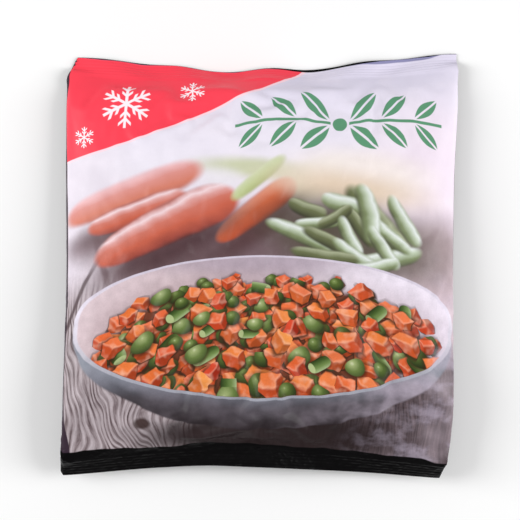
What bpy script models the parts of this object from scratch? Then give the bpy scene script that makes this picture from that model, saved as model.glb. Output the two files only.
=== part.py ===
"""Frozen vegetable bag: a filled pillow bag of printed film, lying on its back.

Units are metres. +Z is up, out of the printed front, and +Y runs towards the top seal.
The origin is on the resting face, under the middle of the bag's box.
The bag is one closed solid: a full body between two side folds, and a flat
heat-sealed fin across each end, which leans back towards the resting face.
"""

import math

import bmesh
import bpy

# ---- driving dimensions -------------------------------------------------------------
LENGTH = 0.2205            # between the cut edges, measured at the corners
BODY_WIDTH = 0.2000        # across the side folds, half way along
TOP_WIDTH = 0.1990         # across the cut edge at the top
BOTTOM_WIDTH = 0.1970      # across the cut edge at the bottom
THICKNESS = 0.0350         # from the resting face to the crown of the front
TOP_FIN_REACH = 0.0070     # of the top fin beyond its seal line, as seen from above
BOTTOM_FIN_REACH = 0.0105  # of the bottom fin
TOP_FIN_DROP = 0.0080      # the top fin leans well back, and its cut edge is this low
BOTTOM_FIN_DROP = 0.0030   # the bottom fin lies flatter
FIN_THICKNESS = 0.0012     # two plies of film pressed flat, with their crimp
FOLD_HEIGHT = 0.0110       # of the side folds above the resting face

TOP_SHIFT = 0.0033         # how far the top seal sits to the right of the body
BOTTOM_SHIFT = -0.0050     # how far the bottom seal sits to the left
SHIFT_SPAN = 0.0450        # length of body over which an end moves sideways
TOP_DIP = 0.0070           # the filling draws the middle of the top edge in
BOTTOM_DIP = 0.0055        # and the middle of the bottom edge

FIN_WAVE = 0.0012          # height of the fin's waves at the cut edge
FIN_WAVES = 4.5            # waves across the width of a fin

CROWN_ACROSS = 3.2         # how square the body's section is, 2 being an ellipse
CROWN_ALONG = 3.5          # the same along the bag
REST_MARGIN = 0.0090       # from a side fold or seal line to the resting face

TOP_SEAL_LINE = LENGTH / 2 - TOP_FIN_REACH
BOTTOM_SEAL_LINE = LENGTH / 2 - BOTTOM_FIN_REACH

# ---- mesh density -------------------------------------------------------------------
ACROSS = 32                # cells from one side fold to the other
ALONG_BODY = 36            # cells between the two seal lines
ALONG_FIN = 2              # cells down each fin
FLOOR_TOLERANCE = 1e-7     # a corner this low lies on the resting face

FILM_COLOUR = (0.62, 0.58, 0.60, 1.0)
FILM_ROUGHNESS = 0.35


def clear_objects():
    """Remove every object that the scene starts with."""
    for scene_object in list(bpy.data.objects):
        bpy.data.objects.remove(scene_object, do_unlink=True)


def smooth(value):
    """Ease from 0 to 1 as value goes from 0 to 1."""
    value = min(1.0, max(0.0, value))
    return value * value * (3.0 - 2.0 * value)


def film_material():
    """Return the satin printed film."""
    material = bpy.data.materials.new("printed_film")
    material.use_nodes = True
    shader = material.node_tree.nodes["Principled BSDF"]
    shader.inputs["Base Color"].default_value = FILM_COLOUR
    shader.inputs["Roughness"].default_value = FILM_ROUGHNESS
    shader.inputs["Metallic"].default_value = 0.0
    return material


def stations():
    """Return the places along the bag, as distances from the middle, bottom first.

    Cells are closer together near the seals, where the section changes fastest.
    """
    places = []
    for row in range(ALONG_FIN):
        places.append(-LENGTH / 2 + BOTTOM_FIN_REACH * row / ALONG_FIN)
    for row in range(ALONG_BODY + 1):
        turn = -math.cos(math.pi * row / ALONG_BODY)
        places.append(turn * (TOP_SEAL_LINE if turn > 0 else BOTTOM_SEAL_LINE))
    for row in range(ALONG_FIN):
        places.append(TOP_SEAL_LINE + TOP_FIN_REACH * (row + 1) / ALONG_FIN)
    return places


def seal_line(place):
    """Return how far from the middle the seal line at this end lies."""
    return TOP_SEAL_LINE if place > 0 else BOTTOM_SEAL_LINE


def across(column):
    """Return a column's place across the bag, from -1 at one fold to 1 at the other."""
    return -math.cos(math.pi * column / ACROSS)


def plan_point(place, share):
    """Return x and y of the point `place` along the bag and `share` across it."""
    towards_end = smooth((abs(place) - (LENGTH / 2 - SHIFT_SPAN)) / SHIFT_SPAN)
    at_top = place > 0
    end_width = TOP_WIDTH if at_top else BOTTOM_WIDTH
    end_shift = TOP_SHIFT if at_top else BOTTOM_SHIFT
    width = BODY_WIDTH + (end_width - BODY_WIDTH) * towards_end
    shift = end_shift * towards_end
    dip = TOP_DIP if at_top else BOTTOM_DIP
    drawn_in = dip * (1.0 - share * share) * (2.0 * place / LENGTH) ** 4
    x = shift + share * width / 2
    y = place - math.copysign(drawn_in, place)
    return x, y


def fin_height(place, share):
    """Return the height of the middle of a fin: it leans back and waves."""
    reach = TOP_FIN_REACH if place > 0 else BOTTOM_FIN_REACH
    drop = TOP_FIN_DROP if place > 0 else BOTTOM_FIN_DROP
    down_fin = (abs(place) - seal_line(place)) / reach
    wave = FIN_WAVE * math.sin(math.pi * FIN_WAVES * share)
    return FOLD_HEIGHT + down_fin * (wave - drop)


def front_height(place, share):
    """Return the height of the filled front above the resting face."""
    along = abs(place) / seal_line(place)
    section = max(0.0, 1.0 - abs(share) ** CROWN_ACROSS)
    profile = max(0.0, 1.0 - along ** CROWN_ALONG)
    crown = THICKNESS - FOLD_HEIGHT - FIN_THICKNESS / 2
    return FOLD_HEIGHT + FIN_THICKNESS / 2 + crown * math.sqrt(section * profile)


def back_height(place, share):
    """Return the height of the back, which is flat where the bag rests."""
    from_seal = seal_line(place) - abs(place)
    from_fold = (1.0 - abs(share)) * BODY_WIDTH / 2
    reach = min(1.0, max(0.0, min(from_seal, from_fold) / REST_MARGIN))
    hang = math.sqrt(max(0.0, 1.0 - (1.0 - reach) ** 2))
    return (FOLD_HEIGHT - FIN_THICKNESS / 2) * (1.0 - hang)


def ring(bm, place):
    """Add one section's vertices: the front left to right, then the back to the left."""
    in_fin = abs(place) > seal_line(place)
    front = []
    back = []
    for column in range(ACROSS + 1):
        share = across(column)
        x, y = plan_point(place, share)
        if in_fin:
            middle = fin_height(place, share)
            upper = middle + FIN_THICKNESS / 2
            lower = middle - FIN_THICKNESS / 2
        else:
            upper = front_height(place, share)
            lower = back_height(place, share)
        front.append(bm.verts.new((x, y, upper)))
        back.append(bm.verts.new((x, y, lower)))
    return front + back[::-1]


def loft(bm, rings):
    """Join each section to the next, and close the two cut edges."""
    for lower, upper in zip(rings, rings[1:]):
        for here in range(len(lower)):
            after = (here + 1) % len(lower)
            bm.faces.new((lower[here], lower[after], upper[after], upper[here]))
    for end in (rings[0], rings[-1]):
        last = len(end) - 1
        for column in range(ACROSS):
            bm.faces.new((end[column], end[column + 1], end[last - column - 1], end[last - column]))
    bmesh.ops.recalc_face_normals(bm, faces=bm.faces)


def join_resting_face(bm):
    """Make the flat cells on the floor plane one face."""
    flat = []
    for face in bm.faces:
        if all(vert.co.z < FLOOR_TOLERANCE for vert in face.verts):
            flat.append(face)
    bmesh.ops.dissolve_faces(bm, faces=flat, use_verts=True)


def centre_on_box(bm):
    """Slide the bag so that its box stands centred on the origin."""
    for axis in (0, 1):
        values = [vert.co[axis] for vert in bm.verts]
        middle = (min(values) + max(values)) / 2
        for vert in bm.verts:
            vert.co[axis] -= middle


def make_bag(collection):
    """Build the bag as one closed solid."""
    bm = bmesh.new()
    rings = [ring(bm, place) for place in stations()]
    loft(bm, rings)
    join_resting_face(bm)
    centre_on_box(bm)
    mesh = bpy.data.meshes.new("bag")
    bm.to_mesh(mesh)
    bm.free()
    mesh.shade_smooth()
    mesh.set_sharp_from_angle(angle=math.radians(50.0))
    mesh.materials.append(film_material())
    bag = bpy.data.objects.new("bag", mesh)
    collection.objects.link(bag)
    return bag


def main():
    clear_objects()
    collection = bpy.data.collections.new("vegetable_bag")
    bpy.context.scene.collection.children.link(collection)
    make_bag(collection)


main()
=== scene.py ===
"""Looks of the frozen vegetable bag: its film, print, seals and stage.

The film is simulated as a tube of thin film, sealed flat at both ends, that the contents
fill and lift. Lengths in the film and in its print are in millimetres, in flat film
coordinates: x across the front from its middle, y along the bag from its middle. The
finished mesh is in metres, centred on the box that the CAD part gives.
"""

import math

import bpy
import numpy as np
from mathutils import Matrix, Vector


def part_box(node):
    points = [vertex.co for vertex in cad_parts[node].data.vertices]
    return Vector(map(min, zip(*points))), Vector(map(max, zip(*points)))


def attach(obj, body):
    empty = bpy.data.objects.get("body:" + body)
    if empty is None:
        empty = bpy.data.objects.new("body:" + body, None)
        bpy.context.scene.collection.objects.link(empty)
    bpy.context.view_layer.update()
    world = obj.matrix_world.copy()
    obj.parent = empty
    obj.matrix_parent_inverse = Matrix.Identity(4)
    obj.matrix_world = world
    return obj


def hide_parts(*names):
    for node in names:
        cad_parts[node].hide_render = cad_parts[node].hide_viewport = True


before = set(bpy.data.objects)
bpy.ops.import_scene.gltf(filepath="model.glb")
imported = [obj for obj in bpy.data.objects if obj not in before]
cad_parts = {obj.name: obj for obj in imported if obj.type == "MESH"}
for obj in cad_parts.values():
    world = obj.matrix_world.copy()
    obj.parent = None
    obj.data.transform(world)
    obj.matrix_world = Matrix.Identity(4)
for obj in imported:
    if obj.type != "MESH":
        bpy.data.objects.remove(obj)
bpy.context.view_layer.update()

REAL = np.float32
MM = 0.001                      # metres in a millimetre

# ---- the bag, sized from the CAD part -------------------------------------------------
LOW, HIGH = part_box("bag")
BOX_WIDTH = (HIGH.x - LOW.x) / MM
BOX_LENGTH = (HIGH.y - LOW.y) / MM
BOX_HEIGHT = (HIGH.z - LOW.z) / MM

FLAT_WIDTH = BOX_WIDTH * 1.032   # of the empty bag: filling draws the sides in
FLAT_LENGTH = BOX_LENGTH * 1.039  # between the cut edges of the empty bag
SEAL_DEPTH = 11.0
FILL_VOLUME = 0.92e6             # contents and air, in cubic millimetres
PLY_THICKNESS = 0.12
SIDES = (                        # place along the bag, and its left and right sides there
    (-110.0, -103.9, 93.2),
    (-104.0, -103.4, 95.4),
    (-92.0, -102.6, 98.6),
    (-72.0, -101.6, 100.0),
    (0.0, -100.4, 100.4),
    (50.0, -101.0, 101.4),
    (85.0, -101.0, 103.6),
    (100.0, -100.6, 103.4),
    (110.0, -95.8, 103.2),
)
SIDE_REACH = 4.5                 # over which the sides are brought to those places
CRIMP_PITCH = 1.8                # of the ribs that the sealing jaws press in
CRIMP_HEIGHT = 0.06
CRIMP_ROWS = 6                   # mesh rows for each simulated row in the seals
IRON_REACH = 8.0                 # over which the jaws flatten a seal's waves
IRON_END = 34.0                  # from the cut edge, where the flattening has died away
LEVELLED = 0.2                   # share of the cut edges' dip that the jaws take out
LEFT_SHORT = 2.2                 # the left side is shorter than the right at each end by this
SEAM_WIDTH = 11.0                # of the lap down the middle of the back
SEAM_LIFT = 0.35
SEAM_GAP = 0.03                  # between the back and the lap
SEAM_THICKNESS = 0.24

# ---- film simulation ------------------------------------------------------------------
COLUMNS, ROWS = 72, 41           # of the coarsest grid, round the bag and along it
LEVELS = ((2500, 0.05, 0.01), (1200, 0.5, 0.04), (700, 1.0, 0.08))  # steps, squeeze, bend
SEED = 41
PRESSURE_GAIN = 0.3
LEAST_PRESSURE = -0.004
DEPTH_PRESSURE = 0.002           # added at the foot of the heap by the contents' weight
GRAVITY = 0.0001
BOTTOM_FIN_WEIGHT = 0.0002
TOP_FIN_WEIGHT = 0.0015          # leans the top fin well back
BOTTOM_DRAWN = 0.93              # the sealed ends pucker to this share of the flat width
TOP_DRAWN = 0.94
BOTTOM_SPANS = (16.0, 32.0)      # distances over which the seals resist bending across the bag
TOP_SPANS = (16.0,)
BOTTOM_SPAN_STIFFNESS = 0.4
TOP_SPAN_STIFFNESS = 0.15
BOTTOM_SPAN_SHARE = 0.938
TOP_SPAN_SHARE = 0.965
SEAL_GRIP = 0.03                 # how fast the seals are drawn in to their width
SEAL_STIFFNESS = 0.5
DAMPING = 0.97
FLOOR_GRIP = 0.3


def pull_together(a, b, rest, stiffness, squeeze=1.0):
    """Move paired points towards lying `rest` apart. Too close, they keep `squeeze` of the push."""
    gap = b - a
    length = np.sqrt(np.einsum("...k,...k->...", gap, gap)) + REAL(1e-9)
    excess = length - REAL(rest)
    if squeeze < 1:
        excess = np.where(excess > 0, excess, excess * REAL(squeeze))
    gap *= (REAL(0.5 * stiffness) * excess / length)[..., None]
    a += gap
    b -= gap


class Film:
    """The film as a closed tube of points, sealed flat at both ends.

    points[i, j] runs round the bag with i and along it with j. Column 0 is the left side
    fold, the front runs to column `half`, and the back runs on, so column -i is behind i.
    """

    def __init__(self, columns, rows):
        self.columns, self.rows, self.half = columns, rows, columns // 2
        self.du = 2 * FLAT_WIDTH / columns
        self.dv = FLAT_LENGTH / (rows - 1)
        self.sealed = round(SEAL_DEPTH / self.dv)
        place = np.arange(columns)
        across = np.where(place <= self.half, place, columns - place)
        self.flat_x = (-FLAT_WIDTH / 2 + across * self.du).astype(REAL)
        self.flat_y = (-FLAT_LENGTH / 2 + np.arange(rows) * self.dv).astype(REAL)
        self.behind = (-place) % columns
        self.points = np.zeros((columns, rows, 3), REAL)
        self.points[..., 0] = self.flat_x[:, None]
        self.points[..., 1] = self.flat_y[None, :]
        self.speed = np.zeros_like(self.points)

    def area_normals(self):
        """Return each point's outward normal, as long as the area that it stands for."""
        p = self.points
        around = np.roll(p, -1, 0) - np.roll(p, 1, 0)
        along = np.empty_like(p)
        along[:, 1:-1] = p[:, 2:] - p[:, :-2]
        along[:, 0] = p[:, 1] - p[:, 0]
        along[:, -1] = p[:, -1] - p[:, -2]
        return np.cross(around, along) * REAL(0.25)

    def keep_lengths(self, squeeze, bend):
        """Hold the film's own lengths: both ways, on the diagonals, and over two cells against bending."""
        p, du, dv = self.points, self.du, self.dv
        diagonal = math.hypot(du, dv)
        even, odd = p[0::2], p[1::2]
        pull_together(even, odd, du, 1, squeeze)
        after = np.roll(even, -1, 0)
        pull_together(odd, after, du, 1, squeeze)
        even[:] = np.roll(after, 1, 0)
        pull_together(p[:, 0:-1:2], p[:, 1::2], dv, 1, squeeze)
        pull_together(p[:, 1::2], p[:, 2::2], dv, 1, squeeze)
        pull_together(even[:, :-1], odd[:, 1:], diagonal, 1, squeeze)
        pull_together(even[:, 1:], odd[:, :-1], diagonal, 1, squeeze)
        after = np.roll(even, -1, 0)
        pull_together(odd[:, :-1], after[:, 1:], diagonal, 1, squeeze)
        pull_together(odd[:, 1:], after[:, :-1], diagonal, 1, squeeze)
        even[:] = np.roll(after, 1, 0)
        fours = p.reshape(self.columns // 4, 4, self.rows, 3)
        for near, far in ((0, 2), (1, 3)):
            pull_together(fours[:, near], fours[:, far], 2 * du, bend)
            after = np.roll(fours[:, near], -1, 0)
            pull_together(fours[:, far], after, 2 * du, bend)
            fours[:, near] = np.roll(after, 1, 0)
        for start in range(4):
            far = p[:, start + 2::4]
            near = p[:, start:self.rows - 2:4][:, :far.shape[1]]
            pull_together(near, far, 2 * dv, bend)

    def seal_ends(self):
        """Bond front to back in the seals, pucker them to their width and keep them stiff."""
        bottom = slice(0, self.sealed + 1)
        top = slice(self.rows - 1 - self.sealed, self.rows)
        self.seal(bottom, BOTTOM_DRAWN, BOTTOM_SPANS, BOTTOM_SPAN_SHARE, BOTTOM_SPAN_STIFFNESS)
        self.seal(top, TOP_DRAWN, TOP_SPANS, TOP_SPAN_SHARE, TOP_SPAN_STIFFNESS)
        for p in (self.points, self.points[:, ::-1]):
            for row in range(self.sealed + 3):
                pull_together(p[:, row], p[:, row + 2], 2 * self.dv, SEAL_STIFFNESS)

    def seal(self, rows, drawn, spans, share, stiffness):
        """Bond and draw in the rows of one seal."""
        p = self.points[:, rows]
        p[:] = 0.5 * (p + p[self.behind])
        p[..., 0] += REAL(SEAL_GRIP) * ((drawn * self.flat_x)[:, None] - p[..., 0])
        front = p[:self.half + 1]
        for span in spans:
            skip = max(2, round(span / self.du))
            pull_together(front[:-skip], front[skip:], skip * self.du * share, stiffness)
        p[self.behind[:self.half + 1]] = front

    def step(self, squeeze, bend, heap):
        """Move the film on by one step under pressure, weight, heap and floor."""
        normals = self.area_normals()
        volume = float((self.points * normals).sum(dtype=np.float64) / 3)
        height = self.points[..., 2]
        top = height.max()
        base = np.clip(PRESSURE_GAIN * (1 - volume / FILL_VOLUME), LEAST_PRESSURE, PRESSURE_GAIN)
        pressure = base + DEPTH_PRESSURE * (top - height) / top
        push = normals * (pressure / (self.du * self.dv))[..., None].astype(REAL)
        push[..., 2] -= REAL(GRAVITY)
        push[:, :self.sealed, 2] -= REAL(BOTTOM_FIN_WEIGHT)
        push[:, self.rows - self.sealed:, 2] -= REAL(TOP_FIN_WEIGHT)
        self.speed = (self.speed + push) * REAL(DAMPING)
        before = self.points.copy()
        self.points += self.speed
        for _ in range(2):
            self.keep_lengths(squeeze, bend)
            self.seal_ends()
            if heap is not None:
                heap.support(self)
            low = self.points[..., 2] < 0
            self.points[..., 2][low] = 0
            plan = self.points[..., :2]
            plan[low] += REAL(FLOOR_GRIP) * (before[..., :2][low] - plan[low])
        self.speed = self.points - before

    def finer(self):
        """Return the film on a grid twice as fine, each new point on a cubic through its neighbours."""
        fine = Film(self.columns * 2, self.rows * 2 - 1)
        p = self.points
        wide = np.zeros((self.columns * 2, self.rows, 3), REAL)
        wide[0::2] = p
        wide[1::2] = (9 * (p + np.roll(p, -1, 0)) - np.roll(p, 1, 0) - np.roll(p, -2, 0)) / 16
        fine.points[:, 0::2] = wide
        fine.points[:, 3:-3:2] = (9 * (wide[:, 1:-2] + wide[:, 2:-1]) - wide[:, :-3] - wide[:, 3:]) / 16
        fine.points[:, 1] = (wide[:, 0] + wide[:, 1]) / 2
        fine.points[:, -2] = (wide[:, -1] + wide[:, -2]) / 2
        return fine


class Heap:
    """The frozen dice and peas under the front, as a height over a plan grid."""

    CELL = 0.5                   # of the plan grid
    ORDER = 10                   # of the smooth surface that the pieces stand in
    PIECES = 1100
    SIZES = (4.2, 6.5)           # half widths of the pieces
    RISE = (-1.2, 1.0)           # of a piece's top over the smooth surface
    DICE = 0.6                   # share of dice, the rest being round
    TILT = 0.25
    CLEARANCE = 0.3
    UNDERLAY = -6.0

    def __init__(self, film, rng):
        x = np.arange(-FLAT_WIDTH / 2, FLAT_WIDTH / 2, self.CELL)
        y = np.arange(-FLAT_LENGTH / 2, FLAT_LENGTH / 2, self.CELL)
        smooth = self.smooth_front(film, x, y)
        tops = np.full(smooth.shape, self.UNDERLAY)
        for _ in range(self.PIECES):
            self.add_piece(tops, x, y, rng)
        strength = self.relief(x[:, None], y[None, :])
        self.x0, self.y0 = x[0], y[0]
        self.height = (smooth - self.CLEARANCE + strength * tops).astype(REAL)

    def smooth_front(self, film, x, y):
        """Fit a smooth polynomial surface through the film's front."""
        basis = np.polynomial.chebyshev
        front = film.points[1:film.half, film.sealed:film.rows - film.sealed]
        across = front[..., 0].ravel() / (FLAT_WIDTH / 2)
        along = front[..., 1].ravel() / (FLAT_LENGTH / 2)
        terms = basis.chebvander2d(across, along, (self.ORDER, self.ORDER))
        weights = np.linalg.lstsq(terms, front[..., 2].ravel(), rcond=None)[0]
        grid = np.meshgrid(x / (FLAT_WIDTH / 2), y / (FLAT_LENGTH / 2), indexing="ij")
        return basis.chebval2d(*grid, weights.reshape(self.ORDER + 1, self.ORDER + 1))

    def add_piece(self, tops, x, y, rng):
        """Raise the grid to one more piece of vegetable."""
        centre_x, centre_y = rng.uniform(x[0], x[-1]), rng.uniform(y[0], y[-1])
        half = rng.uniform(*self.SIZES)
        rise = rng.uniform(*self.RISE)
        angle = rng.uniform(0, math.pi)
        tilt = rng.uniform(-self.TILT, self.TILT, 2)
        power = 4 if rng.random() < self.DICE else 2
        rows = np.flatnonzero(abs(x - centre_x) < half)
        columns = np.flatnonzero(abs(y - centre_y) < half)
        dx = (x[rows, None] - centre_x) / half
        dy = (y[None, columns] - centre_y) / half
        u = dx * math.cos(angle) + dy * math.sin(angle)
        v = dy * math.cos(angle) - dx * math.sin(angle)
        reach = abs(u) ** power + abs(v) ** power
        cap = rise + half * (np.sqrt(np.clip(1 - reach, 0, 1)) - 1)
        if power == 4:
            cap = cap + half * (tilt[0] * u + tilt[1] * v)
        cap = np.where(reach < 1, cap, self.UNDERLAY)
        patch = np.ix_(rows, columns)
        tops[patch] = np.maximum(tops[patch], cap)

    @staticmethod
    def relief(x, y):
        """Return how strongly the pieces show: least in the taut middle, most low on the right."""
        corner = np.exp(-((x - 75) / 45) ** 2 - ((y + 60) / 50) ** 2)
        foot = np.exp(-((y + 95) / 30) ** 2)
        return 0.42 + 0.6 * corner + 0.25 * foot + 0 * x

    def support(self, film):
        """Keep the front on or above the pieces."""
        p = film.points[1:film.half, film.sealed + 1:film.rows - 1 - film.sealed]
        across = np.clip((p[..., 0] - self.x0) / self.CELL, 0, self.height.shape[0] - 1.01)
        along = np.clip((p[..., 1] - self.y0) / self.CELL, 0, self.height.shape[1] - 1.01)
        i, j = across.astype(int), along.astype(int)
        u, v = (across - i).astype(REAL), (along - j).astype(REAL)
        h = self.height
        low = h[i, j] * (1 - u) + h[i + 1, j] * u
        high = h[i, j + 1] * (1 - u) + h[i + 1, j + 1] * u
        np.maximum(p[..., 2], low * (1 - v) + high * v, out=p[..., 2])


def first_lift(film, rng):
    """Open the flat tube a little and unevenly, so that it fills from there."""
    across = film.points[..., 0] / (FLAT_WIDTH / 2)
    along = film.points[..., 1] / (FLAT_LENGTH / 2)
    dome = 20 * np.sqrt(np.clip((1 - across ** 2) * (1 - along ** 2), 0, 1))
    side = np.where(np.arange(film.columns) <= film.half, 1.0, -0.3)[:, None]
    around = np.arange(film.columns)[:, None] / film.columns * 2 * math.pi
    length = np.arange(film.rows)[None, :] / film.rows * 2 * math.pi
    ripple = np.zeros((film.columns, film.rows))
    waves = 12
    for _ in range(waves):
        turns, slant, start = rng.integers(1, 9), rng.uniform(-6, 6), rng.uniform(0, 2 * math.pi)
        ripple += 0.4 / math.sqrt(waves) * np.cos(turns * around + slant * length + start)
    film.points[..., 2] += (dome * side + ripple + 8).astype(REAL)
    film.seal_ends()


def simulate_film():
    """Fill the bag on ever finer grids, and lay its front over the contents on the finest."""
    rng = np.random.default_rng(SEED)
    levels = LEVELS
    film = Film(COLUMNS, ROWS)
    first_lift(film, rng)
    heap = None
    for level, (steps, squeeze, bend) in enumerate(levels):
        if level:
            film = film.finer()
        if level == len(levels) - 1:
            heap = Heap(film, rng)
        for _ in range(steps):
            film.step(squeeze, bend, heap)
    return film


def ease(low, high, value):
    """Rise smoothly from 0 at low to 1 at high."""
    share = np.clip((value - low) / (high - low), 0, 1)
    return share * share * (3 - 2 * share)


def blurred(values, reach):
    """Smooth an array along its first axis, carried on past its ends at the same slope."""
    margin = math.ceil(3 * reach)
    weights = np.exp(-0.5 * (np.arange(-margin, margin + 1) / reach) ** 2)
    weights /= weights.sum()
    before = 2 * values[:1] - values[margin:0:-1]
    after = 2 * values[-1:] - values[-2:-margin - 2:-1]
    wide = np.concatenate([before, values, after])
    return sum(weight * wide[k:k + len(values)] for k, weight in enumerate(weights))


def cubic_rows(points, places):
    """Read the grid at fractional rows, on a cubic through the four nearest."""
    last = points.shape[1] - 1
    row = np.clip(np.floor(places).astype(int), 0, last - 1)
    t = (places - row)[None, :, None]
    a, b = points[:, np.maximum(row - 1, 0)], points[:, row]
    c, d = points[:, row + 1], points[:, np.minimum(row + 2, last)]
    return b + 0.5 * t * (c - a + t * (2 * a - 5 * b + 4 * c - d + t * (3 * (b - c) + d - a)))


class Skin:
    """The finished outer surface: the simulated film with its crimped seals, in its place."""

    def __init__(self, film):
        seal_places = np.arange(film.sealed * CRIMP_ROWS) / CRIMP_ROWS
        last = film.rows - 1
        body_places = np.arange(film.sealed, last - film.sealed + 1)
        places = np.concatenate([seal_places, body_places, (last - seal_places)[::-1]])
        self.columns, self.rows, self.half = film.columns, len(places), film.half
        self.seam = film.half + film.half // 2
        self.flat_y = -FLAT_LENGTH / 2 + places * film.dv
        self.points = cubic_rows(film.points.astype(float), places)
        self.iron_ends()
        self.set_sides()
        self.crimp_and_part_plies()
        self.keep_plies_apart()
        self.lift_over_seam()
        self.fit_to_box()

    def iron_ends(self):
        """Smooth and level the seals across the bag, and the film beside them less and less."""
        from_cut = FLAT_LENGTH / 2 - abs(self.flat_y)
        strength = ease(IRON_END, SEAL_DEPTH, from_cut)[None, :, None]
        reach = IRON_REACH * self.columns / (2 * FLAT_WIDTH)
        front = np.arange(self.half + 1)
        for ply in (front, (-front) % self.columns):
            film = self.points[ply]
            film = film + strength * (blurred(film, reach) - film)
            corners = np.linspace(film[0, :, 1], film[-1, :, 1], len(film))
            film[..., 1] += LEVELLED * strength[..., 0] * (corners - film[..., 1])
            leftward = (1 - front / self.half)[:, None]
            film[..., 1] -= LEFT_SHORT * strength[..., 0] * leftward * np.sign(self.flat_y)
            self.points[ply] = film

    def set_sides(self):
        """Bring the two sides to their places, and leave their own small waves."""
        rows_reach = SIDE_REACH * self.rows / FLAT_LENGTH
        places, *sides = np.array(SIDES).T
        left, right = self.points[..., 0].min(0), self.points[..., 0].max(0)
        moves = []
        for now, column, side in ((left, 0, sides[0]), (right, self.half, sides[1])):
            wanted = np.interp(self.points[column, :, 1], places, side)
            moves.append(blurred(wanted - now, rows_reach))
        share = (self.points[..., 0] - left) / (right - left)
        self.points[..., 0] += moves[0] + share * (moves[1] - moves[0])

    def unit_normals(self):
        p = self.points
        around = np.roll(p, -1, 0) - np.roll(p, 1, 0)
        along = np.gradient(p, axis=1)
        normal = np.cross(around, along)
        return normal / (np.linalg.norm(normal, axis=-1, keepdims=True) + 1e-9)

    def crimp_and_part_plies(self):
        """Press the ribs into the seals and set the two plies apart by their thickness."""
        normal = self.unit_normals()
        from_cut = FLAT_LENGTH / 2 - abs(self.flat_y)
        in_seal = ease(0, 1.0, from_cut) * ease(SEAL_DEPTH, SEAL_DEPTH - 1.5, from_cut)
        rib = CRIMP_HEIGHT * np.sin(2 * math.pi * from_cut / CRIMP_PITCH) * in_seal
        front = np.zeros(self.columns)
        front[1:self.half] = 1
        front[self.half + 1:] = -1
        outward = front[:, None] * rib[None, :] + PLY_THICKNESS * abs(front)[:, None]
        self.points += normal * outward[..., None]

    def keep_plies_apart(self):
        """Push front and back apart where they would pass through each other by the seals."""
        behind = (-np.arange(self.columns)) % self.columns
        front = slice(1, self.half)
        for _ in range(3):
            normal = self.unit_normals()[front]
            gap = self.points[front] - self.points[behind[front]]
            across = (gap * normal).sum(-1)
            push = np.clip(2 * PLY_THICKNESS - across, 0, None)[..., None] * normal / 2
            self.points[front] += push
            self.points[behind[front]] -= push

    def lift_over_seam(self):
        """Raise the middle of the back off the floor by the lap that it lies on."""
        back = self.points[self.half:]
        near = 1 - ease(SEAM_WIDTH * 0.5, SEAM_WIDTH * 0.9, abs(back[..., 0]))
        low = 1 - ease(0, 3 * SEAM_LIFT, back[..., 2])
        back[..., 2] += SEAM_LIFT * near * low

    def fit_to_box(self):
        """Stand the bag on the floor, on the middle of the CAD part's box and at its plan size."""
        flat = self.points.reshape(-1, 3)
        low, high = flat.min(0), flat.max(0)
        for axis, size in ((0, BOX_WIDTH), (1, BOX_LENGTH)):
            middle = (low[axis] + high[axis]) / 2
            self.points[..., axis] = (self.points[..., axis] - middle) * size / (high[axis] - low[axis])
        self.points[..., 2] -= low[2]
        self.points[..., 0] += (LOW.x + HIGH.x) / 2 / MM
        self.points[..., 1] += (LOW.y + HIGH.y) / 2 / MM
        self.points[..., 2] += LOW.z / MM


def make_mesh(name, vertices, faces, layers):
    """Make an object from points in millimetres, faces, and layers of per-corner UVs."""
    mesh = bpy.data.meshes.new(name)
    mesh.from_pydata((np.asarray(vertices) * MM).tolist(), [], faces)
    for layer_name, corners in layers.items():
        layer = mesh.uv_layers.new(name=layer_name)
        layer.data.foreach_set("uv", np.asarray(corners, dtype=REAL).ravel())
    mesh.validate()
    mesh.shade_smooth()
    mesh.set_sharp_from_angle(angle=math.radians(70))
    piece = bpy.data.objects.new(name, mesh)
    bpy.context.scene.collection.objects.link(piece)
    return piece


FRONT_ISLAND = (0.005, 0.005, 0.70, 0.745)     # x, y, width, height in the baked layout
BACK_ISLAND = (0.715, 0.005, 0.28, 0.99)


def baked_place(girth, y, on_front):
    """Place a corner in the baked layout: the front large, the back beside it."""
    if on_front:
        x0, y0, width, height = FRONT_ISLAND
        across = girth / FLAT_WIDTH + 0.5
    else:
        x0, y0, width, height = BACK_ISLAND
        across = (girth / FLAT_WIDTH - 0.5) % 2
    return x0 + across * width, y0 + (y / FLAT_LENGTH + 0.5) * height


def make_film(skin):
    """Build the bag's skin as one closed mesh with its print and bake coordinates."""
    columns, rows, half = skin.columns, skin.rows, skin.half
    du = 2 * FLAT_WIDTH / columns
    faces, printed, baked = [], [], []

    def add(corners, on_front):
        faces.append([column % columns * rows + row for column, row, _ in corners])
        for _, row, girth in corners:
            printed.append((girth, skin.flat_y[row]))
            baked.append(baked_place(girth, skin.flat_y[row], on_front))

    for column in range(columns):
        turns = 1 if column >= skin.seam else 0
        left = -FLAT_WIDTH / 2 + (column - columns * turns) * du
        right = left + du
        for row in range(rows - 1):
            corners = [(column, row, left), (column + 1, row, right),
                       (column + 1, row + 1, right), (column, row + 1, left)]
            add(corners, column < half)
    for row in (0, rows - 1):
        for column in range(half):
            left = -FLAT_WIDTH / 2 + column * du
            corners = [(column + 1, row, left + du), (column, row, left)]
            if column > 0:
                corners.append((columns - column, row, left))
            if column + 1 < half:
                corners.append((columns - column - 1, row, left + du))
            add(corners if row == 0 else corners[::-1], True)
    vertices = skin.points.reshape(-1, 3)
    return make_mesh("film", vertices, faces, {"print": printed, "OFBake": baked})


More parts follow.
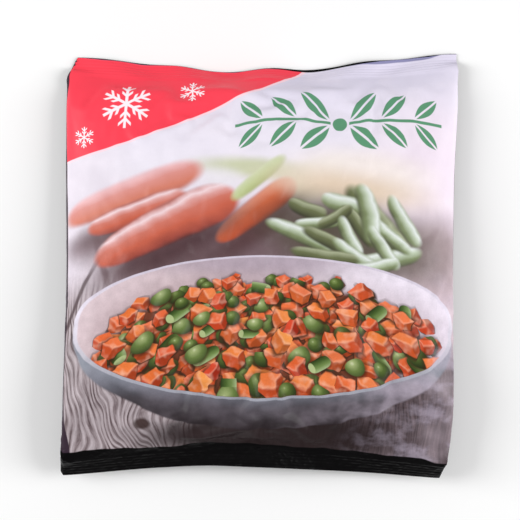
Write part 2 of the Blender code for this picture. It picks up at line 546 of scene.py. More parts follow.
def make_back_seam(skin):
    """Build the lap that closes the tube down the middle of the back, as a thin slab."""
    du = 2 * FLAT_WIDTH / skin.columns
    reach = round(SEAM_WIDTH / 2 / du)
    across = np.arange(skin.seam - reach, skin.seam + reach + 1)
    under = skin.points[across]
    outward = skin.unit_normals()[across]
    near = under + outward * SEAM_GAP
    far = under + outward * (SEAM_GAP + SEAM_THICKNESS)
    far[..., 2] = np.maximum(far[..., 2], LOW.z / MM)
    width, rows = len(across), skin.rows
    ring = list(range(width)) + list(range(2 * width - 1, width - 1, -1))
    vertices = np.concatenate([near, far]).reshape(-1, 3)
    girth = np.concatenate([across, across]) * du - FLAT_WIDTH / 2
    faces, printed = [], []

    def add(corners):
        faces.append([column * rows + row for column, row in corners])
        printed.extend((girth[column], skin.flat_y[row]) for column, row in corners)

    for here, after in zip(ring, ring[1:] + ring[:1]):
        for row in range(rows - 1):
            add([(after, row), (here, row), (here, row + 1), (after, row + 1)])
    for column in range(width - 1):
        add([(column, 0), (column + 1, 0), (width + column + 1, 0), (width + column, 0)])
        last = rows - 1
        add([(column + 1, last), (column, last), (width + column, last), (width + column + 1, last)])
    return make_mesh("back_seam", vertices, faces, {"print": printed})


def linear(red, green, blue):
    """Return the linear colour of 8-bit display values."""
    channels = []
    for value in (red, green, blue):
        share = value / 255
        channels.append(share / 12.92 if share <= 0.04045 else ((share + 0.055) / 1.055) ** 2.4)
    return (*channels, 1.0)


class Value:
    """A shader output that sums can be written with."""

    def __init__(self, paint, socket):
        self.paint = paint
        self.socket = socket

    def __add__(self, other):
        return self.paint.math("ADD", self, other)

    def __sub__(self, other):
        return self.paint.math("SUBTRACT", self, other)

    def __rsub__(self, other):
        return self.paint.math("SUBTRACT", other, self)

    def __mul__(self, other):
        return self.paint.math("MULTIPLY", self, other)

    def __truediv__(self, other):
        return self.paint.math("DIVIDE", self, other)

    def __abs__(self):
        return self.paint.math("ABSOLUTE", self)

    __radd__ = __add__
    __rmul__ = __mul__


class Paint:
    """Lays shapes over a canvas colour in one material's node tree."""

    def __init__(self, tree):
        self.tree = tree
        self.canvas = None

    def node(self, kind, **settings):
        node = self.tree.nodes.new("ShaderNode" + kind)
        for name, value in settings.items():
            setattr(node, name, value)
        return node

    def feed(self, socket, value):
        """Link a Value to a socket, or set the socket to a plain number or vector."""
        if isinstance(value, Value):
            self.tree.links.new(value.socket, socket)
        else:
            socket.default_value = value

    def math(self, operation, *inputs):
        node = self.node("Math", operation=operation)
        for socket, value in zip(node.inputs, inputs):
            self.feed(socket, value)
        return Value(self, node.outputs[0])

    def least(self, first, second):
        return self.math("MINIMUM", first, second)

    def most(self, first, second):
        return self.math("MAXIMUM", first, second)

    def vector(self, operation, *inputs):
        node = self.node("VectorMath", operation=operation)
        sockets = [socket for socket in node.inputs if socket.enabled]
        for socket, value in zip(sockets, inputs):
            self.feed(socket, value)
        return Value(self, node.outputs["Vector"])

    def length(self, vector):
        node = self.node("VectorMath", operation="LENGTH")
        self.feed(node.inputs[0], vector)
        return Value(self, node.outputs["Value"])

    def local(self, place, centre, angle=0.0, size=(1.0, 1.0)):
        """Return the place as seen from a centre, turned by degrees, in units of size."""
        node = self.node("Mapping", vector_type="TEXTURE")
        self.feed(node.inputs["Vector"], place)
        node.inputs["Location"].default_value = (*centre, 0)
        node.inputs["Rotation"].default_value = (0, 0, math.radians(angle))
        node.inputs["Scale"].default_value = (*size, 1)
        return Value(self, node.outputs[0])

    def turned(self, vector, angle):
        """Turn a vector about Z by an angle in radians, which may be a Value."""
        node = self.node("VectorRotate", rotation_type="Z_AXIS")
        self.feed(node.inputs["Vector"], vector)
        self.feed(node.inputs["Angle"], angle)
        return Value(self, node.outputs[0])

    def parts(self, vector):
        node = self.node("SeparateXYZ")
        self.feed(node.inputs[0], vector)
        return Value(self, node.outputs[0]), Value(self, node.outputs[1])

    def scaled(self, vector, share):
        node = self.node("VectorMath", operation="SCALE")
        self.feed(node.inputs[0], vector)
        self.feed(node.inputs["Scale"], share)
        return Value(self, node.outputs[0])

    def joined(self, x, y):
        node = self.node("CombineXYZ")
        self.feed(node.inputs[0], x)
        self.feed(node.inputs[1], y)
        return Value(self, node.outputs[0])

    def fade(self, value, start, end, least=0.0, most=1.0):
        """Go smoothly from `least` at start to `most` at end; start may be the larger."""
        node = self.node("MapRange", interpolation_type="SMOOTHSTEP")
        for name, number in (("Value", value), ("From Min", start), ("From Max", end),
                             ("To Min", least), ("To Max", most)):
            self.feed(node.inputs[name], number)
        return Value(self, node.outputs[0])

    def ramp(self, value, stops):
        """Read a colour from (place, (red, green, blue)) stops."""
        node = self.node("ValToRGB")
        elements = node.color_ramp.elements
        while len(elements) < len(stops):
            elements.new(1.0)
        for element, (place, _) in zip(elements, stops):
            element.position = place
        for element, (_, colour) in zip(elements, stops):
            element.color = linear(*colour)
        self.feed(node.inputs[0], value)
        return Value(self, node.outputs[0])

    def noise(self, place, size, detail=2.0, roughness=0.5, seed=0.0):
        """Return cloudy noise, about 0.2 to 0.8, whose lumps are about `size` across."""
        sizes = size if isinstance(size, tuple) else (size, size)
        node = self.node("TexNoise", noise_dimensions="2D")
        self.feed(node.inputs["Vector"], self.local(place, (seed, -seed), 0.0, sizes))
        node.inputs["Scale"].default_value = 1.0
        node.inputs["Detail"].default_value = detail
        node.inputs["Roughness"].default_value = roughness
        return Value(self, node.outputs[0])

    def mix(self, share, below, above):
        node = self.node("Mix", data_type="RGBA")
        self.feed(node.inputs[0], share)
        for socket, colour in ((node.inputs[6], below), (node.inputs[7], above)):
            self.feed(socket, linear(*colour) if isinstance(colour, tuple) else colour)
        return Value(self, node.outputs[2])

    def lay(self, mask, colour):
        """Cover the canvas with a colour where the mask is 1."""
        self.canvas = self.mix(mask, self.canvas, colour)

    def aligned(self, x, y, centre, angle, size):
        """Return the place along and across a direction from a centre, in units of size."""
        turn = math.radians(angle)
        found = []
        for east, north, unit in ((math.cos(turn), math.sin(turn), size[0]),
                                  (-math.sin(turn), math.cos(turn), size[1])):
            start = -(centre[0] * east + centre[1] * north) / unit
            part = self.math("MULTIPLY_ADD", y, north / unit, start)
            found.append(self.math("MULTIPLY_ADD", x, east / unit, part))
        return found

    def blot(self, place, centre, size, colour, soft, strength=1.0, angle=0.0):
        """Lay a soft-edged ellipse; `soft` is the share of its radius that fades."""
        reach = self.length(self.local(place, centre, angle, size))
        self.lay(self.fade(reach, 1 + soft, 1 - soft, 0.0, strength), colour)

    def spindle(self, x, y, centre, angle, length, width, stops, wear, soft=0.3, taper=0.0, bow=0.0):
        """Lay a long rounded shape, shaded across by its stops from its lower side up.

        `wear` moves the shading up and down. The shape is wider towards its far end where
        `taper` is over 0, and its middle bows down where `bow` is over 0.
        """
        along, across = self.aligned(x, y, centre, angle, (length / 2, width / 2))
        square = along * along
        if bow:
            across = across + (1 - square) * bow
        if taper:
            across = across / (along * taper + 1)
        reach = square * square + across * across
        mask = self.fade(reach, 1 + soft, 1 - soft)
        self.lay(mask, self.ramp(across * 0.5 + wear, stops))


def paint_backdrop(paint, place, x, y):
    """The pale field above and the out-of-focus table top behind the bowl."""
    up = paint.fade(y, -20, 110)
    paint.canvas = paint.ramp(up, ((0.0, (203, 183, 192)), (0.18, (208, 190, 199)), (0.36, (226, 215, 226)),
                                   (0.55, (235, 229, 240)), (0.85, (232, 226, 240)), (1.0, (222, 216, 235))))
    paint.blot(place, (-100, 30), (26, 50), (226, 218, 229), 0.6, 0.9)
    paint.blot(place, (92, 46), (34, 34), (238, 223, 237), 0.6, 0.9)
    cloud = paint.noise(place, (30, 20), 3.0)
    paint.lay(paint.fade(cloud, 0.45, 0.8, 0.0, 0.3), (247, 238, 248))
    gap = abs(x + y * 0.3 + 80.5)
    paint.lay(paint.fade(gap, 3.2, 0.6, 0.0, 0.75) * paint.fade(y, 20, 6), (112, 90, 96))


CARROT = ((0.0, (96, 54, 54)), (0.12, (160, 76, 64)), (0.36, (198, 98, 76)), (0.58, (206, 118, 102)),
          (0.74, (220, 160, 156)), (0.85, (238, 210, 214)), (0.95, (206, 152, 150)), (1.0, (176, 112, 106)))
DULL_CARROT = ((0.0, (124, 66, 56)), (0.2, (180, 82, 54)), (0.55, (208, 104, 68)), (0.85, (218, 138, 112)),
               (1.0, (206, 144, 132)))
FAR_CARROT = ((0.0, (180, 108, 96)), (0.3, (210, 126, 106)), (0.62, (218, 146, 138)), (0.85, (232, 182, 184)),
              (1.0, (230, 196, 202)))
POD = ((0.0, (84, 88, 66)), (0.28, (126, 138, 100)), (0.55, (184, 196, 172)), (0.8, (224, 230, 226)),
       (1.0, (170, 180, 156)))
DARK_POD = ((0.0, (62, 62, 48)), (0.5, (106, 112, 78)), (0.85, (164, 170, 140)), (1.0, (122, 126, 98)))
LEAF = ((0.0, (168, 176, 118)), (0.5, (192, 202, 150)), (1.0, (206, 214, 178)))


def paint_roots(paint, place, x, y):
    """Carrots lying on the table, out of focus, with their green tops."""
    paint.blot(place, (-26, 4), (56, 17), (92, 68, 72), 0.5, 0.95, 14)
    paint.blot(place, (-84, 9), (18, 8), (122, 98, 104), 0.7, 0.7, 10)
    paint.blot(place, (16, 12), (30, 13), (116, 94, 100), 0.7, 0.85, 24)
    paint.blot(place, (-2, 49), (28, 5), (192, 198, 152), 0.6, 0.8, -4)
    paint.blot(place, (-20, 44), (10, 5), (232, 228, 234), 0.6, 0.7, 0)
    paint.blot(place, (26, 42), (15, 8), (184, 192, 138), 0.7, 0.8, 24)
    wear = paint.noise(place, (13, 8), 2.0, 0.4, 61.0) * 0.16 + 0.42
    paint.spindle(x, y, (-67, 36), 20, 78, 15.5, FAR_CARROT, wear, 0.4, 0.1)
    paint.blot(place, (-66, 20), (32, 7), (92, 64, 68), 0.6, 0.85, 19)
    paint.spindle(x, y, (-63, 26), 19, 54, 12.5, CARROT, wear, 0.3, 0.1)
    paint.blot(place, (2, 20), (27, 6), (84, 58, 60), 0.6, 0.85, 38)
    paint.spindle(x, y, (-2, 27), 38, 50, 13, DULL_CARROT, wear, 0.3, 0.16)
    paint.blot(place, (-44, 9), (36, 7), (82, 58, 62), 0.6, 0.85, 25)
    paint.spindle(x, y, (-48, 18), 25.5, 80, 20.5, CARROT, wear, 0.22, 0.2, -0.16)
    paint.spindle(x, y, (-1, 44), 40, 34, 7, LEAF, wear, 0.6)


PODS = (                          # x, y, angle, length, width, bow
    (60, 22, -48, 46, 13, 0.2),
    (66, 3, 10, 34, 9, 0.25),
    (42, 31, -14, 22, 9, 0.1),
    (24, 28, -20, 20, 8, 0.2),
    (74, 22, -58, 30, 8, 0.2),
    (66, 15, -40, 30, 7, 0.2),
    (50, 19, -52, 26, 7, -0.2),
    (54, 26, -78, 30, 10, -0.3),
    (30, 21, 4, 24, 6, 0.2),
    (38, 24, 30, 20, 6, 0.2),
    (46, 14, -62, 22, 7, 0.25),
    (20, 14, -24, 36, 8, -0.2),
    (36, 10, -28, 32, 7, -0.2),
    (63, 8, -56, 26, 7, 0.2),
    (49, 4, -34, 28, 7, 0.2),
    (33, 4, -8, 34, 7, 0.2),
    (56, -2, 10, 30, 7, 0.2),
)


def paint_greens(paint, place, x, y):
    """A pale blurred head of cauliflower and a heap of green pods behind the bowl."""
    paint.blot(place, (50, 45), (36, 13), (242, 231, 226), 0.5, 0.9, -4)
    paint.blot(place, (46, 38), (34, 8), (221, 198, 172), 0.8, 0.85, -8)
    paint.blot(place, (88, 6), (24, 18), (156, 138, 140), 0.6, 0.9)
    paint.blot(place, (46, 12), (40, 19), (84, 76, 64), 0.5, 0.94, -14)
    wear = paint.noise(place, (12, 8), 2.0, 0.4, 43.0) * 0.28 + 0.34
    for index, (across, along, angle, length, width, bow) in enumerate(PODS):
        colours = DARK_POD if index % 3 == 0 else POD
        paint.spindle(x, y, (across, along), angle, length, width, colours, wear, 0.45, 0.06, bow)


KNOT = (-61.5, -85.0)
PALE_WOOD = ((0.0, (50, 38, 40)), (0.25, (108, 93, 96)), (0.55, (160, 147, 151)), (1.0, (194, 182, 187)))
DARK_WOOD = ((0.0, (32, 24, 26)), (0.4, (66, 54, 57)), (1.0, (118, 102, 107)))


def paint_timber(paint, place, x, y):
    """The weathered boards under the bowl: pale on the left, in shade on the right."""
    around = paint.length(paint.local(place, KNOT, 0.0, (12, 8)))
    bend = paint.fade(around, 2.4, 0.0, 0.0, 7.0)
    drift = paint.noise(place, (30, 60), 2.0)
    across = x + bend + drift * paint.fade(x, 30, -50, 12.0, 30.0) + y * 0.12
    bands = paint.node("TexWave", wave_type="BANDS", bands_direction="X")
    paint.feed(bands.inputs["Vector"], paint.joined(across, y * 0.06))
    bands.inputs["Scale"].default_value = 0.10
    bands.inputs["Distortion"].default_value = 4.0
    bands.inputs["Detail"].default_value = 3.0
    bands.inputs["Detail Scale"].default_value = 0.35
    streaks = paint.noise(paint.joined(across, y * 0.09), 1.4, 3.0, 0.65)
    waves = (Value(paint, bands.outputs[1]) - 0.5) * paint.fade(x, 30, -70, 0.1, 0.45)
    grain = waves + streaks * 1.3 - 0.08
    wood = paint.mix(paint.fade(x + y * 0.35, -66, 14), paint.ramp(grain, PALE_WOOD), paint.ramp(grain, DARK_WOOD))
    outside = paint.most(paint.fade(x, -62, -84), paint.fade(y, -36, -54))
    paint.lay(paint.fade(y, -2, -26) * outside, wood)
    gap = abs(x - y * 0.55 + 84.2)
    in_reach = paint.fade(y, 6, -8) * paint.fade(y, -60, -48)
    paint.lay(paint.fade(gap, 2.0, 0.5, 0.0, 0.85) * in_reach, (78, 60, 64))
    paint.lay(paint.fade(around, 0.5, 0.25, 0.0, 0.92), (62, 43, 40))
    # painted sheen: pale clouds of light reflected from the crumpled film, laid over the boards low on the right
    sheen_noise = paint.noise(place, 26, 2.0, seed=40.0)
    right_low = paint.fade(x, 56, 96) * paint.fade(y, -30, -48)
    paint.lay(right_low * paint.fade(sheen_noise, 0.25, 0.7, 0.0, 0.5), (178, 163, 172))
    under = paint.fade(paint.length(paint.local(place, (8, -93), 0, (72, 16))), 1.25, 0.6, 0.0, 0.97)
    paint.lay(under, (43, 32, 33))


BOWL = (3.2, -34.2)
RIM = (100.7, 37.9)
BOWL_BOTTOM = 54.6
GLAZE = ((0.0, (138, 142, 154)), (0.35, (108, 108, 118)), (0.65, (76, 71, 77)), (1.0, (44, 36, 39)))
RIM_COLOURS = ((0.0, (160, 162, 174)), (0.3, (196, 192, 203)), (0.65, (228, 220, 234)), (1.0, (208, 198, 214)))
WALL = ((0.0, (216, 196, 202)), (0.3, (204, 184, 190)), (0.6, (203, 188, 198)), (0.82, (236, 226, 238)),
        (1.0, (233, 223, 237)))


def paint_bowl(paint, place, x, y):
    """A wide pale bowl with a dark glazed outside; returns the mask of its inside."""
    body = paint.length(paint.local(place, BOWL, 0, (RIM[0] * 0.995, BOWL_BOTTOM)))
    below = paint.fade(y, BOWL[1] + 3, BOWL[1] - 3)
    sheen_noise = paint.noise(place, (22, 16), 3.0, seed=11.0)
    down = paint.fade(y - abs(x - 3) * 0.12, -62, -90)
    glaze = paint.ramp(down, GLAZE)
    # painted highlight: pale patches of light reflected from the crumpled film on the right of the glaze
    lit = paint.fade(sheen_noise, 0.3, 0.8) * paint.fade(x, 0, 80, 0.15, 0.85)
    paint.lay(paint.fade(body, 1.012, 0.99) * below, paint.mix(lit, glaze, (178, 166, 180)))
    rim = paint.length(paint.local(place, BOWL, 0, RIM))
    height = paint.fade(y, BOWL[1] - RIM[1], BOWL[1] + RIM[1])
    paint.lay(paint.fade(rim, 1.004, 0.994), paint.ramp(height, RIM_COLOURS))
    inner = paint.length(paint.local(place, (BOWL[0], BOWL[1] + 0.3), 0, (RIM[0] - 2.8, RIM[1] - 1.3)))
    inside = paint.fade(inner, 1.006, 0.992)
    wall = paint.ramp(paint.fade(x, -100, 100), WALL)
    paint.lay(inside, wall)
    far_wall = paint.length(paint.local(place, (BOWL[0] - 6, BOWL[1] + 36), 0, (70, 10)))
    paint.lay(inside * paint.fade(far_wall, 1.3, 0.3, 0.0, 0.8), (170, 154, 168))
    return inside


HEAP_CENTRE = (4.0, -40.0)
HEAP_SIZE = (91.0, 41.0)
HEAP_DEPTH = 0.0060               # how fast the pieces look smaller towards the back
HEAP_BEND = 2.8                   # makes the dice uneven
HEAP_BEND_SIZE = 7.0
DICE_COLOURS = ((0.0, (210, 58, 36)), (0.3, (220, 76, 40)), (0.6, (227, 96, 48)), (0.85, (232, 116, 58)),
                (1.0, (237, 146, 66)))
CUT_FACES = ((0.0, (228, 114, 82)), (0.35, (242, 158, 74)), (0.65, (233, 130, 98)), (1.0, (246, 174, 92)))
WET = (255, 218, 192)
PEA_COLOURS = ((0.0, (184, 196, 150)), (0.14, (124, 142, 82)), (0.4, (84, 102, 48)), (0.75, (56, 70, 34)),
               (1.0, (38, 40, 22)))
BEAN_COLOURS = ((0.0, (208, 212, 174)), (0.2, (158, 172, 116)), (0.55, (104, 124, 66)), (1.0, (54, 64, 34)))
CUT_BEAN_COLOURS = ((0.0, (36, 50, 22)), (0.35, (72, 96, 44)), (0.7, (114, 138, 78)), (1.0, (162, 180, 132)))
CRACK = (62, 38, 24)


def dice(paint, offset, first, second):
    """A cut cube seen from above one corner: its top and two sides."""
    a, b = paint.parts(paint.turned(offset, first * 1.6 - 0.8))
    b = b - 0.25
    corner = second * 1.1 - 0.55
    near = paint.least((a + 1) / (corner + 1), (1 - a) / (1 - corner))
    far = paint.least((a + 1) / (1 - corner), (1 - a) / (corner + 1))
    front_edge = b + near * 0.62
    back_edge = far * 0.62 - b
    side = paint.least(near * 3.0, 1.0)
    inside = paint.least(paint.least(front_edge + side * 0.95, back_edge), near)
    mask = paint.fade(inside, -0.03, 0.14)
    shadow = paint.fade(inside, -0.5, -0.02, 0.0, 0.85)
    top = paint.fade(front_edge, -0.11, 0.1)
    right = paint.fade(a - corner, -0.07, 0.07, 0.72, 0.48)
    shade = right + top * (1.0 - right)
    tone = paint.scaled(paint.ramp(first * 0.5 + second * 0.5, DICE_COLOURS), shade)
    tone = paint.mix(top * (second * 0.5 + 0.12), tone, paint.ramp(first, CUT_FACES))
    rounded = paint.fade(abs(front_edge - 0.03), 0.22, 0.0, 0.0, 0.2)
    return mask, shadow, paint.mix(rounded, tone, WET)


def pea(paint, offset, first, second):
    """A round pea, lit from the upper left."""
    reach = paint.length(offset)
    lit = paint.length(paint.vector("SUBTRACT", offset, (-0.25, 0.42, 0)))
    tone = paint.ramp(lit * 0.62 + second * 0.12, PEA_COLOURS)
    return paint.fade(reach, 1.06, 0.92), paint.fade(reach, 1.5, 0.95, 0.0, 0.8), tone


def bean(paint, offset, first, second):
    """A plump, slightly bent bean, lit from the upper left."""
    a, b = paint.parts(paint.turned(offset, first * 3.1))
    b = b + a * a * 0.14 - 0.05
    a = a * 0.78
    reach = a * a + b * b
    lit = paint.length(paint.vector("SUBTRACT", offset, (-0.3, 0.45, 0)))
    tone = paint.ramp(lit * 0.55 + second * 0.12, BEAN_COLOURS)
    return paint.fade(reach, 1.1, 0.86), paint.fade(reach, 2.2, 0.9, 0.0, 0.8), tone


def cut_bean(paint, offset, first, second):
    """A short length of green bean, with its pale cut end."""
    a, b = paint.parts(paint.turned(offset, first * 3.1))
    square = a * a * 0.7
    across = b * 1.75
    reach = square * square + across * across
    body = paint.ramp(across * 0.5 + 0.5, CUT_BEAN_COLOURS)
    end = paint.length(paint.local(paint.joined(a, b), (0.88, 0), 0, (0.3, 0.5)))
    tone = paint.mix(paint.fade(end, 1.1, 0.85), body, (172, 186, 132))
    return paint.fade(reach, 1.1, 0.86), paint.fade(reach, 2.4, 0.9, 0.0, 0.8), tone


HEAP_LAYERS = (                   # shape, cell, share of cells that hold one, half size, more to the right
    (dice, 10.5, 1.0, 5.2, 0.0),
    (pea, 9.5, 0.66, 3.9, -0.2),
    (dice, 12.0, 0.76, 5.2, 0.2),
    (bean, 17.0, 0.3, 3.9, -0.2),
    (pea, 11.0, 0.28, 4.0, -0.2),
    (dice, 12.5, 0.68, 5.3, 0.15),
    (cut_bean, 18.0, 0.38, 5.2, -0.1),
    (pea, 11.5, 0.28, 4.1, -0.15),
    (dice, 13.5, 0.6, 5.6, 0.2),
    (bean, 25.0, 0.32, 4.1, -0.2),
)


def scatter(paint, place, inside, wetness, seed, shape, cell, chance, half, rightward):
    """Lay one loose layer of a kind of vegetable over the bowl's inside.

    Each cell of a Voronoi pattern holds one piece or none. A piece whose middle is in the
    heap is drawn whole, so the heap's edge is uneven.
    """
    cells = paint.node("TexVoronoi", voronoi_dimensions="2D", feature="F1")
    paint.feed(cells.inputs["Vector"], paint.local(place, (seed * 3.1, seed * 1.7), 0.0, (cell, cell)))
    cells.inputs["Scale"].default_value = 1.0
    cells.inputs["Randomness"].default_value = 0.8
    split = paint.node("SeparateColor")
    paint.feed(split.inputs[0], Value(paint, cells.outputs["Color"]))
    first, second, third = (Value(paint, socket) for socket in split.outputs)
    middle = paint.vector("MULTIPLY_ADD", Value(paint, cells.outputs["Position"]), (cell, cell, 0),
                          (seed * 3.1, seed * 1.7, 0))
    offset = paint.vector("SUBTRACT", place, middle)
    offset = paint.scaled(offset, paint.math("DIVIDE", 1 / half, second * 0.45 + 0.8))
    reach = paint.length(paint.vector("DIVIDE", middle, (*HEAP_SIZE, 1)))
    across, _ = paint.parts(middle)
    likely = across * (rightward / HEAP_SIZE[0]) + chance
    present = paint.math("LESS_THAN", reach + first * 0.12, 1.0) * paint.math("LESS_THAN", third, likely)
    present = present * inside
    mask, shadow, tone = shape(paint, offset, first, second)
    _, up = paint.parts(offset)
    paint.lay(present * shadow * paint.fade(up, 0.9, -0.6, 0.5, 1.0), CRACK)
    paint.lay(present * mask, paint.mix(wetness, tone, WET))


def paint_heap(paint, place, inside):
    """The mixed vegetables in the bowl, layer over layer."""
    offset = paint.local(place, HEAP_CENTRE)
    core = paint.length(paint.local(offset, (0, -3), 0, (HEAP_SIZE[0] - 8, HEAP_SIZE[1] - 8)))
    paint.lay(paint.fade(core, 1.35, 0.95, 0.0, 0.4) * inside, (150, 122, 124))
    paint.lay(paint.fade(core, 1.0, 0.9) * inside, (112, 60, 42))
    _, up = paint.parts(offset)
    receding = paint.scaled(offset, up * HEAP_DEPTH + 1)
    bends = [paint.noise(offset, HEAP_BEND_SIZE, 1.0, 0.5, seed) - 0.5 for seed in (51.0, 77.0)]
    bent = paint.vector("MULTIPLY_ADD", paint.joined(*bends), (HEAP_BEND, HEAP_BEND, 0), receding)
    wetness = paint.fade(paint.noise(offset, 4.6, 1.0, 0.5, 5.0), 0.45, 0.85, 0.0, 0.3)
    for index, (shape, *numbers) in enumerate(HEAP_LAYERS):
        seed = 3.0 + index * 5.0
        if shape is dice:
            scatter(paint, bent, inside, wetness, seed, shape, *numbers)
        else:
            scatter(paint, receding, inside, 0.0, seed, shape, *numbers)


def paint_crumple_sheen(paint, place, x, y):
    """Painted sheen: pale soft clouds of light reflected from the crumpled film, low on the right."""
    cloud = paint.noise(place, (18, 12), 5.0, 0.55, 71.0)
    low_right = paint.fade(x - y * 0.45, 80, 130)
    # painted sheen laid over the picture, low on the right
    paint.lay(paint.fade(cloud, 0.4, 0.68, 0.0, 0.5) * low_right, (192, 180, 198))


def paint_mottle(paint, place, y):
    """Break up the smooth colours of the lower picture with soft lumps and a fine grain."""
    lumps = paint.noise(place, 6.0, 2.0, 0.5, 21.0) - 0.5
    grain = paint.noise(place, 0.9, 1.0, 0.5, 33.0) - 0.5
    mottle = (lumps * 0.28 + grain * 0.12) * paint.fade(y, 40, -10, 0.15, 1.0)
    paint.canvas = paint.scaled(paint.canvas, mottle + 1.0)


SPRIG = (40.0, 74.0)
SPRIG_REACH = 54.0
SPRIG_BARE = 4.8                  # of stem beside the berry
LEAF_PITCH = 16.4
LEAF_MIDDLE = (0.0, 8.8)
LEAF_ANGLE = 46
LEAF_HALF = (10.4, 3.8)           # length and width
GREEN = (94, 150, 116)


def paint_sprig(paint, place):
    """A leafy sprig to each side of a berry, in the title's place."""
    x, y = paint.parts(paint.local(place, SPRIG))
    out = abs(x)
    stem = y - paint.math("SINE", out * 0.06) * 3.5 + 2.0
    across = abs(stem)
    along = paint.math("FRACT", (out - SPRIG_BARE) / LEAF_PITCH) * LEAF_PITCH - LEAF_PITCH / 2
    taper = 1.12 - out * 0.006
    in_cell = paint.joined(along / taper, across / taper)
    u, v = paint.parts(paint.local(in_cell, LEAF_MIDDLE, LEAF_ANGLE, LEAF_HALF))
    rib = paint.fade(abs(v), 0.10, 0.20)
    leaves = paint.fade(abs(v) + u * u, 1.04, 0.94) * rib
    line = paint.fade(across, 1.0, 0.6)
    held = paint.fade(out, SPRIG_REACH, SPRIG_REACH - 0.6) * paint.fade(out, SPRIG_BARE - 0.4, SPRIG_BARE + 0.2)
    berry = paint.fade(paint.length(paint.local(place, (SPRIG[0], SPRIG[1] - 1.6))), 3.9, 3.5)
    paint.lay(paint.most(paint.most(leaves, line) * held, berry), GREEN)


CORNER_SIZE = (128.0, 61.0)
RED = (252, 70, 88)
KEYLINE = (255, 220, 230)
CRYSTALS = ((-71.0, 84.0, 1.0), (-37.0, 94.0, 0.56), (-92.0, 66.0, 0.42))   # x, y, scale
CRYSTAL_REACH = 13.5
BARBS = ((4.4, 3.0), (8.0, 3.7))   # where on the arm they start, and how far out they go


def snow_crystal(paint, place, x, y, scale):
    """Return the mask of a plain six-armed snow crystal."""
    local = paint.local(place, (x, y), 0.0, (scale, scale))
    across, up = paint.parts(local)
    sixth = math.pi / 3
    turn = paint.math("PINGPONG", paint.math("ARCTAN2", up, across) + 3.5 * sixth, sixth / 2)
    far = paint.length(local)
    out = far * paint.math("COSINE", turn)
    side = far * paint.math("SINE", turn)
    mask = paint.fade(side, 0.95, 0.55) * paint.fade(out, CRYSTAL_REACH, CRYSTAL_REACH - 0.5)
    for start, reach in BARBS:
        barb = paint.fade(abs(out - side - start), 1.1, 0.65) * paint.fade(side, reach, reach - 0.5)
        mask = paint.most(mask, barb)
    return mask


def paint_corner(paint, place):
    """A red corner with a pale keyline and plain snow crystals."""
    u, v = paint.parts(paint.local(place, (-FLAT_WIDTH / 2, FLAT_LENGTH / 2), 0, CORNER_SIZE))
    left = paint.most(u, 0.0)
    down = paint.most(v * -1, 0.0)
    reach = paint.math("POWER", left, 1.3) + paint.math("POWER", down, 1.3)
    paint.lay(paint.fade(reach, 1.026, 1.014), KEYLINE)
    paint.lay(paint.fade(reach, 1.0, 0.99), RED)
    for x, y, scale in CRYSTALS:
        paint.lay(snow_crystal(paint, place, x, y, scale), (255, 240, 246))


FOOT = -FLAT_LENGTH / 2 + 15.0
BLACK = (3, 2, 3)


def paint_edges(paint, place, x, y):
    """The near-black band round the bottom seal and what shows of it along the top cut, with a band of painted
    shade, darker lavender, along the top cut where the fin leans back.
    """
    wave = paint.noise(place, (16, 400), 1.0, seed=7.0)
    swell = paint.noise(place, (34, 400), 2.0, seed=19.0)
    lower = paint.fade(x, -100, -40) * 3.0
    paint.lay(paint.fade(y + lower - swell * 7.0, FOOT - 2.2, FOOT - 2.9), BLACK)
    # painted shade: a darker lavender band along the top cut, widest right of the middle, where the top fin leans
    # back
    shade = paint.fade(x, 30, 52) * paint.fade(x, 100, 86) * 1.5 + wave * 1.4 - 0.4
    paint.lay(paint.fade(y + shade, FLAT_LENGTH / 2 - 0.4, FLAT_LENGTH / 2 + 0.2), (142, 140, 178))
    trim = paint.fade(x, 0, 26) * paint.fade(x, 66, 50) * 1.2 + wave * 1.2 - 0.2
    paint.lay(paint.fade(y + trim, FLAT_LENGTH / 2 - 0.15, FLAT_LENGTH / 2 + 0.15), BLACK)


BACK_COLOUR = (56, 42, 54)
PANEL = (222, 214, 222)


def paint_back(paint, place, x, y):
    """The dark back, which shows past the left fold, with plain blank fields."""
    left_fold = x + FLAT_WIDTH / 2 - 3.4 + y * 0.018
    right_fold = x - FLAT_WIDTH / 2 - 0.6
    off_front = paint.most(paint.fade(left_fold, 0.3, -0.3), paint.fade(right_fold, -0.3, 0.3))
    paint.lay(off_front, BACK_COLOUR)
    for side in (-1, 1):
        across, along = paint.parts(paint.local(place, (side * FLAT_WIDTH * 0.77, 4)))
        edge = paint.most(abs(across) - 34, abs(along) - 62)
        panel = paint.fade(edge, 0.2, -0.2)
        rules = paint.fade(abs(paint.math("FRACT", along / 8) - 0.5), 0.04, 0.03) * paint.fade(edge, -4.0, -4.2)
        paint.lay(panel, paint.mix(rules * 0.6, PANEL, (120, 110, 120)))
    band = paint.fade(abs(y - 86), 7.2, 6.8) * paint.math("GREATER_THAN", abs(x), FLAT_WIDTH / 2 + 12)
    paint.lay(band, RED)


def crinkle(paint, place, x, y):
    """Return the film's fine unevenness as a height in metres."""
    worked = paint.fade(x - y * 0.7, 40, 130, 0.25, 1.0)
    creases = 0.5 - abs(paint.noise(place, (15, 19), 2.0, 0.5, 3.0) - 0.5)
    grain = paint.noise(place, 3.5, 1.0, 0.5, 9.0)
    pinched = 0.5 - abs(paint.noise(place, (9, 6), 2.0, 0.5, 15.0) - 0.5)
    foot = paint.fade(y, FOOT + 8, FOOT, 0.0, 0.0012)
    return (creases * 0.0009 + grain * 0.00004) * worked + pinched * foot


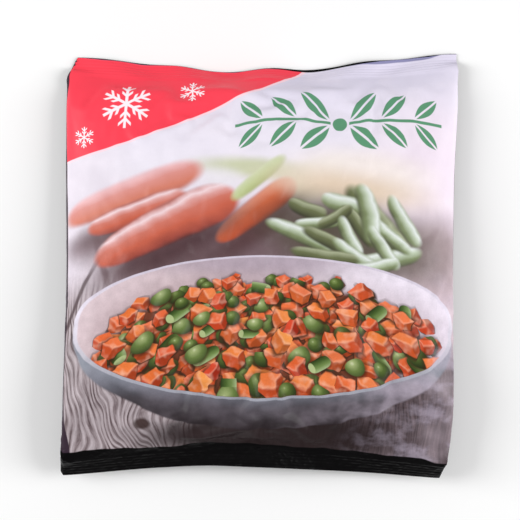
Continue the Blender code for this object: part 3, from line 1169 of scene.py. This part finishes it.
def film_material():
    """Return the printed film: its print, its satin finish and its fine crinkle."""
    material = bpy.data.materials.new("printed_film")
    material.use_nodes = True
    tree = material.node_tree
    shader = tree.nodes["Principled BSDF"]
    paint = Paint(tree)
    source = paint.node("UVMap")
    source.uv_map = "print"
    place = Value(paint, source.outputs[0])
    x, y = paint.parts(place)
    bump = paint.node("Bump")
    bump.inputs["Distance"].default_value = 1.0
    paint.feed(bump.inputs["Height"], crinkle(paint, place, x, y))
    paint.feed(shader.inputs["Normal"], Value(paint, bump.outputs[0]))
    paint.feed(shader.inputs["Roughness"], paint.fade(paint.noise(place, 20, 2.0), 0.3, 0.7, 0.3, 0.42))
    shader.inputs["Specular IOR Level"].default_value = 0.12
    paint_backdrop(paint, place, x, y)
    paint_roots(paint, place, x, y)
    paint_greens(paint, place, x, y)
    paint_timber(paint, place, x, y)
    inside = paint_bowl(paint, place, x, y)
    paint_heap(paint, place, inside)
    # painted sheen of the crumpled film over the lower right
    paint_crumple_sheen(paint, place, x, y)
    paint_mottle(paint, place, y)
    paint_sprig(paint, place)
    paint_corner(paint, place)
    paint_back(paint, place, x, y)
    paint_edges(paint, place, x, y)
    paint.feed(shader.inputs["Base Color"], paint.canvas)
    return material


def make_stage():
    """A plain pale floor, white surroundings and soft studio lights."""
    size = 6.0
    mesh = bpy.data.meshes.new("floor")
    corner = size / 2
    mesh.from_pydata([(-corner, -corner, 0), (corner, -corner, 0), (corner, corner, 0), (-corner, corner, 0)],
                     [], [(0, 1, 2, 3)])
    floor = bpy.data.objects.new("floor", mesh)
    floor.location.z = LOW.z - 0.0002
    bpy.context.scene.collection.objects.link(floor)
    material = bpy.data.materials.new("floor_white")
    material.use_nodes = True
    shader = material.node_tree.nodes["Principled BSDF"]
    shader.inputs["Base Color"].default_value = (0.94, 0.94, 0.94, 1)
    shader.inputs["Roughness"].default_value = 0.9
    mesh.materials.append(material)
    world = bpy.data.worlds.new("surroundings")
    bpy.context.scene.world = world
    world.use_nodes = True
    background = world.node_tree.nodes["Background"]
    background.inputs["Color"].default_value = (1, 1, 1, 1)
    background.inputs["Strength"].default_value = 0.34
    add_light("left_side", (-0.90, 0.12, 0.60), (0.5, 0.9), 8.8)
    add_light("right_side", (0.90, -0.02, 0.60), (0.5, 0.9), 8.6)
    bpy.context.scene.view_settings.view_transform = "Standard"


def add_light(name, place, size, watts):
    """Add a soft box that faces the bag."""
    data = bpy.data.lights.new(name, "AREA")
    data.shape = "RECTANGLE"
    data.size, data.size_y = size
    data.energy = watts
    light = bpy.data.objects.new(name, data)
    light.location = place
    light.rotation_euler = (-Vector(place)).to_track_quat("-Z", "Y").to_euler()
    bpy.context.scene.collection.objects.link(light)


FRAME_PIXELS = 520
PIXELS_WIDE = 401.0              # the bag spans this many of the frame's pixels
PIXELS_DOWN = 5.0                # and its middle is this far below the frame's
CAMERA_HEIGHT = 1.1
SENSOR = 36.0


def make_camera():
    """Look straight down on the bag through a long lens."""
    middle = (LOW + HIGH) / 2
    seen = BOX_WIDTH * MM * FRAME_PIXELS / PIXELS_WIDE
    data = bpy.data.cameras.new("camera")
    data.sensor_width = SENSOR
    data.lens = SENSOR * CAMERA_HEIGHT / seen
    camera = bpy.data.objects.new("camera", data)
    drop = seen * PIXELS_DOWN / FRAME_PIXELS
    camera.location = (middle.x, middle.y + drop, (HIGH.z + LOW.z) / 2 + CAMERA_HEIGHT)
    bpy.context.scene.collection.objects.link(camera)
    bpy.context.scene.camera = camera


def main():
    make_camera()
    make_stage()
    skin = Skin(simulate_film())
    film = make_film(skin)
    seam = make_back_seam(skin)
    material = film_material()
    for piece in (film, seam):
        piece.data.materials.append(material)
        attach(piece, "root")
    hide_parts("bag")


main()
bpy.context.view_layer.update()
